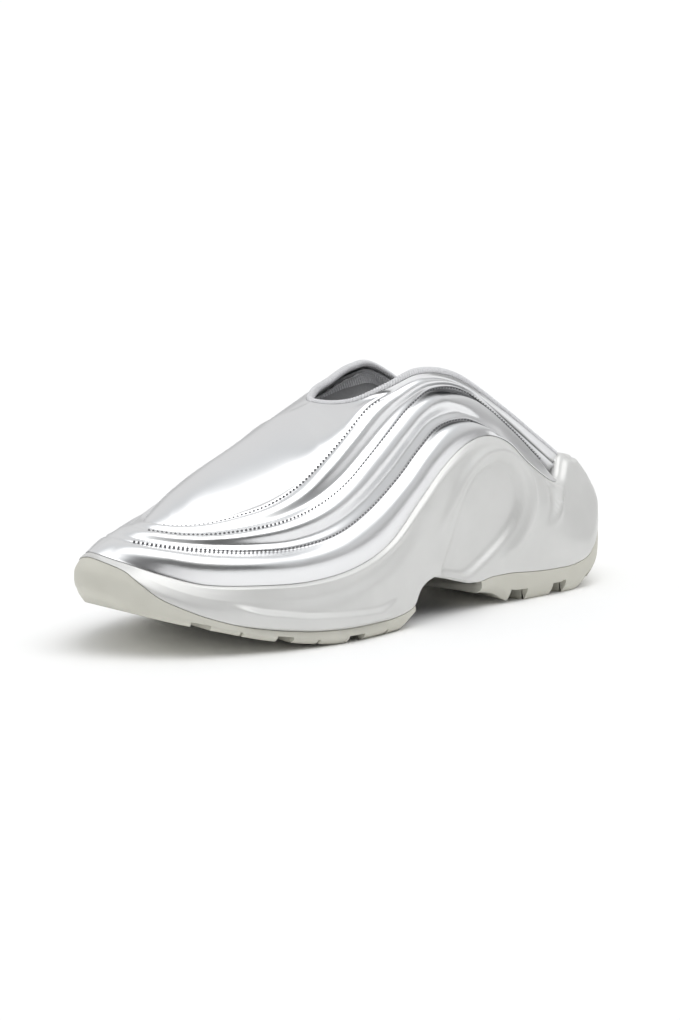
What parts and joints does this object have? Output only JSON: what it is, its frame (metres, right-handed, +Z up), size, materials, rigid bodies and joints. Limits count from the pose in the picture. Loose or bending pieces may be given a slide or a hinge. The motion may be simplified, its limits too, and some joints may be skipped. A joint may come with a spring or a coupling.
{
  "type": "sneaker mule",
  "caption": "Backless metallic-silver sneaker mule with a padded wave-quilted upper, an arched painted foam midsole and a chunky rubber tread",
  "frame": {"origin": "Middle of the bounding box at floor level, with the shoe standing on its tread.", "axes": "Toe towards -X, heel towards +X. +Y is the inner side of this left shoe and -Y its outer side. +Z up."},
  "size_m": [0.3, 0.1099, 0.116],
  "materials": {
    "silver_coated_cloth": "glossy metallic coating, padded",
    "grey_knit": "ribbed knit",
    "grey_lining": "brushed mesh lining",
    "painted_foam": "pearl silver paint, satin",
    "tread_rubber": "matte"
  },
  "bodies": {
    "root": {"upper": "silver_coated_cloth", "collar_binding": "grey_knit", "insole": "grey_lining", "midsole": "painted_foam", "outsole_forefoot": "tread_rubber", "outsole_heel": "tread_rubber"}
  },
  "joints": []
}
